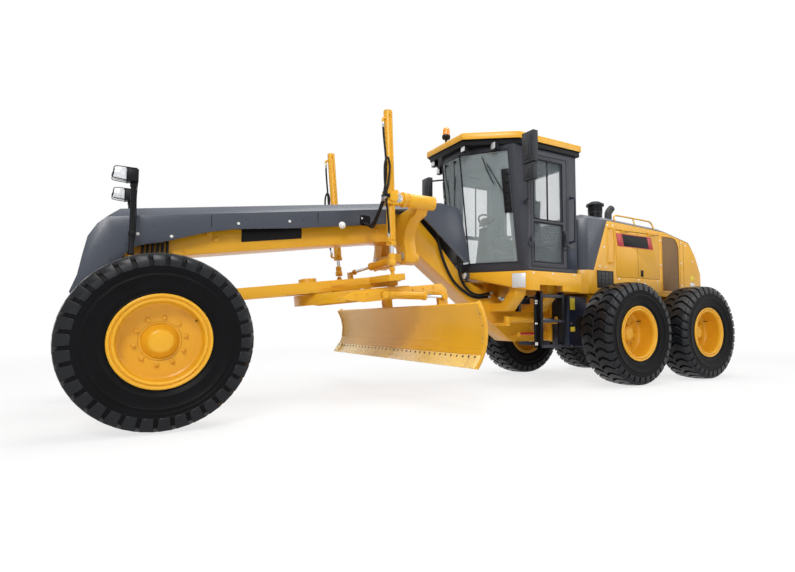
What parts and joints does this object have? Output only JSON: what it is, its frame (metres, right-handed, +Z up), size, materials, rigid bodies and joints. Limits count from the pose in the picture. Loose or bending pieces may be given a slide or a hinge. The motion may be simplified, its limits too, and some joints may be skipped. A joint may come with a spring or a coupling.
{
  "type": "motor grader",
  "caption": "Articulated motor grader: leaning steered front axle, drawbar with turning circle and blade, glazed cab, engine hood and tandem rear wheels.",
  "frame": {"origin": "on the ground, under the centre of the box round the whole machine", "axes": "+X to the rear along the machine, +Y to its right side, +Z up; the front faces -X"},
  "size_m": [8.542, 3.514, 3.5],
  "materials": {
    "yellow_paint": "gloss yellow paint",
    "grey_paint": "satin blue-grey paint",
    "navy_paint": "satin dark blue paint",
    "black_paint": "black paint",
    "tyre": "black tyre rubber",
    "rod_steel": "chromed cylinder rod",
    "dark_steel": "dark cast steel",
    "interior": "black trim and seat",
    "glass": "slightly green safety glass"
  },
  "bodies": {
    "front": {"front_frame": "yellow_paint", "front_cover": "grey_paint", "saddle": "yellow_paint", "front_axle": "yellow_paint", "cab_floor": "yellow_paint", "cab_frame": "grey_paint", "cab_roof": "yellow_paint", "windshield": "glass", "cab_interior": "interior", "ladder_left": "black_paint", "ladder_right": "black_paint", "mirror_left": "black_paint", "mirror_right": "black_paint"},
    "rear": {"rear_frame": "yellow_paint", "tandem_axle": "yellow_paint", "engine": "dark_steel", "hood": "yellow_paint", "hood_cover": "grey_paint", "side_tank_left": "navy_paint", "side_tank_right": "navy_paint"},
    "lean_left": {"lean_carrier_left": "yellow_paint"},
    "steer_left": {"knuckle_left": "yellow_paint"},
    "wheel_front_left": {"front_left_rim": "yellow_paint", "front_left_tyre": "tyre"},
    "lean_right": {"lean_carrier_right": "yellow_paint"},
    "steer_right": {"knuckle_right": "yellow_paint"},
    "wheel_front_right": {"front_right_rim": "yellow_paint", "front_right_tyre": "tyre"},
    "lean_bar": {"lean_bar": "yellow_paint"},
    "tie_rod": {"tie_rod": "dark_steel"},
    "wheel_mid_left": {"mid_left_rim": "yellow_paint", "mid_left_tyre": "tyre"},
    "wheel_mid_right": {"mid_right_rim": "yellow_paint", "mid_right_tyre": "tyre"},
    "wheel_rear_left": {"rear_left_rim": "yellow_paint", "rear_left_tyre": "tyre"},
    "wheel_rear_right": {"rear_right_rim": "yellow_paint", "rear_right_tyre": "tyre"},
    "drawbar_ball": {"drawbar_ball": "dark_steel"},
    "drawbar": {"drawbar": "yellow_paint"},
    "circle": {"circle": "yellow_paint", "tip_barrel": "yellow_paint"},
    "blade_carrier": {"blade_carrier": "yellow_paint"},
    "moldboard": {"moldboard": "yellow_paint"},
    "tip_rod": {"tip_rod": "rod_steel"},
    "lift_barrel_left": {"lift_barrel_left": "yellow_paint"},
    "lift_rod_left": {"lift_rod_left": "rod_steel"},
    "lift_barrel_right": {"lift_barrel_right": "yellow_paint"},
    "lift_rod_right": {"lift_rod_right": "rod_steel"},
    "shift_barrel": {"shift_barrel": "yellow_paint"},
    "shift_rod": {"shift_rod": "rod_steel"},
    "articulation_barrel_left": {"articulation_barrel_left": "yellow_paint"},
    "articulation_rod_left": {"articulation_rod_left": "rod_steel"},
    "articulation_barrel_right": {"articulation_barrel_right": "yellow_paint"},
    "articulation_rod_right": {"articulation_rod_right": "rod_steel"},
    "cab_door_left": {"cab_door_left": "grey_paint"},
    "hood_door_left": {"hood_door_left": "yellow_paint"},
    "cab_door_right": {"cab_door_right": "grey_paint"},
    "hood_door_right": {"hood_door_right": "yellow_paint"}
  },
  "joints": [
    {"name": "articulation", "type": "hinge", "parent": "front", "child": "rear", "pos_m": [1.151, 0, 0.85], "axis": [0, 0, 1], "range_deg": [-25, 25]},
    {"name": "lean_left", "type": "hinge", "parent": "front", "child": "lean_left", "pos_m": [-3.599, -0.69, 0.56], "axis": [1, 0, 0], "range_deg": [-17, 17]},
    {"name": "lean_right", "type": "hinge", "parent": "front", "child": "lean_right", "pos_m": [-3.599, 0.69, 0.56], "axis": [1, 0, 0], "range_deg": [-17, 17]},
    {"name": "lean_bar_slide", "type": "slide", "parent": "front", "child": "lean_bar", "axis": [0, 1, 0], "range_m": [-0.09, 0.09]},
    {"name": "steer_left", "type": "hinge", "parent": "lean_left", "child": "steer_left", "pos_m": [-3.599, -0.78, 0.64], "axis": [0, 0, 1], "range_deg": [-40, 40]},
    {"name": "steer_right", "type": "hinge", "parent": "lean_right", "child": "steer_right", "pos_m": [-3.599, 0.78, 0.64], "axis": [0, 0, 1], "range_deg": [-40, 40]},
    {"name": "tie_rod_slide", "type": "slide", "parent": "front", "child": "tie_rod", "axis": [0, 1, 0], "range_m": [-0.112, 0.112]},
    {"name": "wheel_front_left_spin", "type": "hinge", "parent": "steer_left", "child": "wheel_front_left", "pos_m": [-3.599, -1.078, 0.672], "axis": [0, 1, 0], "continuous": true},
    {"name": "wheel_front_right_spin", "type": "hinge", "parent": "steer_right", "child": "wheel_front_right", "pos_m": [-3.599, 1.078, 0.672], "axis": [0, 1, 0], "continuous": true},
    {"name": "wheel_mid_left_spin", "type": "hinge", "parent": "rear", "child": "wheel_mid_left", "pos_m": [1.851, -1.078, 0.672], "axis": [0, 1, 0], "continuous": true},
    {"name": "wheel_mid_right_spin", "type": "hinge", "parent": "rear", "child": "wheel_mid_right", "pos_m": [1.851, 1.078, 0.672], "axis": [0, 1, 0], "continuous": true},
    {"name": "wheel_rear_left_spin", "type": "hinge", "parent": "rear", "child": "wheel_rear_left", "pos_m": [3.389, -1.078, 0.672], "axis": [0, 1, 0], "continuous": true},
    {"name": "wheel_rear_right_spin", "type": "hinge", "parent": "rear", "child": "wheel_rear_right", "pos_m": [3.389, 1.078, 0.672], "axis": [0, 1, 0], "continuous": true},
    {"name": "drawbar_swing", "type": "hinge", "parent": "front", "child": "drawbar_ball", "pos_m": [-3.269, 0, 1.05], "axis": [0, 0, 1], "range_deg": [-8, 8]},
    {"name": "drawbar_lift", "type": "hinge", "parent": "drawbar_ball", "child": "drawbar", "pos_m": [-3.269, 0, 1.05], "axis": [0, -1, 0], "range_deg": [-21, 2.1]},
    {"name": "circle_rotate", "type": "hinge", "parent": "drawbar", "child": "circle", "pos_m": [-1.57993, 0, 1.24245], "axis": [-0.1132, 0, 0.9936], "range_deg": [-35, 35]},
    {"name": "blade_pitch", "type": "hinge", "parent": "circle", "child": "blade_carrier", "pos_m": [-0.76657, 0, 0.64065], "axis": [0, 1, 0], "range_deg": [-18, 18]},
    {"name": "blade_side_shift", "type": "slide", "parent": "blade_carrier", "child": "moldboard", "axis": [0, 1, 0], "range_m": [-0.5, 0.5]},
    {"name": "tip_rod_slide", "type": "slide", "parent": "circle", "child": "tip_rod", "axis": [1, 0, -0.0006], "range_m": [-0.145, 0.145]},
    {"name": "lift_barrel_left_swing", "type": "hinge", "parent": "front", "child": "lift_barrel_left", "pos_m": [-1.494, -0.79, 2.11], "axis": [1, 0, 0], "range_deg": [-20, 20]},
    {"name": "lift_rod_left_slide", "type": "slide", "parent": "lift_barrel_left", "child": "lift_rod_left", "axis": [0.0639, 0.0512, -0.9966], "range_m": [-0.07, 0.68]},
    {"name": "lift_barrel_right_swing", "type": "hinge", "parent": "front", "child": "lift_barrel_right", "pos_m": [-1.494, 0.79, 2.11], "axis": [1, 0, 0], "range_deg": [-20, 20]},
    {"name": "lift_rod_right_slide", "type": "slide", "parent": "lift_barrel_right", "child": "lift_rod_right", "axis": [0.0639, -0.0512, -0.9966], "range_m": [-0.07, 0.68]},
    {"name": "shift_barrel_swing", "type": "hinge", "parent": "front", "child": "shift_barrel", "pos_m": [-1.174, -0.29, 1.545], "axis": [1, 0, 0], "range_deg": [-40, 5]},
    {"name": "shift_rod_slide", "type": "slide", "parent": "shift_barrel", "child": "shift_rod", "axis": [-0.2691, 0.9522, -0.1449], "range_m": [-0.257, 0.257]},
    {"name": "articulation_barrel_left_swing", "type": "hinge", "parent": "front", "child": "articulation_barrel_left", "pos_m": [0.351, -0.43, 0.85], "axis": [0, 0, 1], "range_deg": [-2, 2]},
    {"name": "articulation_rod_left_slide", "type": "slide", "parent": "articulation_barrel_left", "child": "articulation_rod_left", "axis": [0.9994, 0.0333, 0], "range_m": [-0.175, 0.175]},
    {"name": "articulation_barrel_right_swing", "type": "hinge", "parent": "front", "child": "articulation_barrel_right", "pos_m": [0.351, 0.43, 0.85], "axis": [0, 0, 1], "range_deg": [-2, 2]},
    {"name": "articulation_rod_right_slide", "type": "slide", "parent": "articulation_barrel_right", "child": "articulation_rod_right", "axis": [0.9994, -0.0333, 0], "range_m": [-0.175, 0.175]},
    {"name": "cab_door_left_hinge", "type": "hinge", "parent": "front", "child": "cab_door_left", "pos_m": [0.438, -0.816, 2.2], "axis": [0, 0, -1], "range_deg": [0, 80]},
    {"name": "hood_door_left_hinge", "type": "hinge", "parent": "rear", "child": "hood_door_left", "pos_m": [2.716, -0.634, 2.152], "axis": [-1, 0, 0], "range_deg": [0, 70]},
    {"name": "cab_door_right_hinge", "type": "hinge", "parent": "front", "child": "cab_door_right", "pos_m": [0.438, 0.816, 2.2], "axis": [0, 0, 1], "range_deg": [0, 80]},
    {"name": "hood_door_right_hinge", "type": "hinge", "parent": "rear", "child": "hood_door_right", "pos_m": [2.716, 0.634, 2.152], "axis": [1, 0, 0], "range_deg": [0, 70]}
  ],
  "couplings": [
    {"joint": "lean_right", "follows": "lean_left", "ratio": 1},
    {"joint": "lean_bar_slide", "follows": "lean_left", "m_per_rad": -0.2956},
    {"joint": "steer_right", "follows": "steer_left", "ratio": 1},
    {"joint": "tie_rod_slide", "follows": "steer_left", "m_per_rad": -0.1575},
    {"joint": "tip_rod_slide", "follows": "blade_pitch", "m_per_rad": 0.45},
    {"joint": "lift_barrel_left_swing", "follows": "drawbar_swing", "ratio": 2.46},
    {"joint": "lift_rod_left_slide", "follows": "drawbar_lift", "m_per_rad": -1.836},
    {"joint": "lift_barrel_right_swing", "follows": "drawbar_swing", "ratio": 2.46},
    {"joint": "lift_rod_right_slide", "follows": "drawbar_lift", "m_per_rad": -1.836},
    {"joint": "shift_barrel_swing", "follows": "drawbar_lift", "ratio": 1.85},
    {"joint": "shift_rod_slide", "follows": "drawbar_swing", "m_per_rad": 1.83},
    {"joint": "articulation_barrel_left_swing", "follows": "articulation", "ratio": 0.078},
    {"joint": "articulation_rod_left_slide", "follows": "articulation", "m_per_rad": 0.393},
    {"joint": "articulation_barrel_right_swing", "follows": "articulation", "ratio": 0.078},
    {"joint": "articulation_rod_right_slide", "follows": "articulation", "m_per_rad": -0.393}
  ]
}
